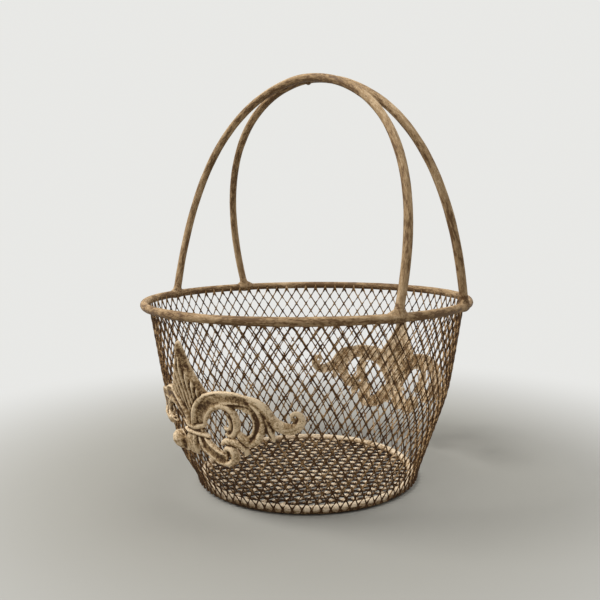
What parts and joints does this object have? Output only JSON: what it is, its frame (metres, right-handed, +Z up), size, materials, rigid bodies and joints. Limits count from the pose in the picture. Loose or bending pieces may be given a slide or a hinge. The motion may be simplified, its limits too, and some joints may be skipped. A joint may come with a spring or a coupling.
{
  "type": "mesh basket",
  "caption": "Round open basket of painted diamond mesh between a rod rim and a foot ring, with arched rod handles and cast scroll ornaments on the wall.",
  "frame": {"origin": "on the floor under the middle of the basket", "axes": "+Z up, X along the span of the handles, the front ornament faces about -Y"},
  "size_m": [0.2664, 0.2664, 0.3256],
  "materials": {
    "rod": "worn matt greige paint over rust brown",
    "mesh": "rust brown mesh with worn pale paint on its edges",
    "casting": "worn matt greige paint over rust brown",
    "weld": "worn matt greige paint over rust brown"
  },
  "bodies": {
    "root": {"rim_ring": "rod", "foot_ring": "rod", "wall_mesh": "mesh", "base_mesh": "mesh", "handle_front": "rod", "handle_back": "rod", "crown_weld": "weld", "foot_weld_front_right": "weld", "foot_weld_front_left": "weld", "foot_weld_back_right": "weld", "foot_weld_back_left": "weld", "ornament_front": "casting", "ornament_back": "casting"}
  },
  "joints": []
}
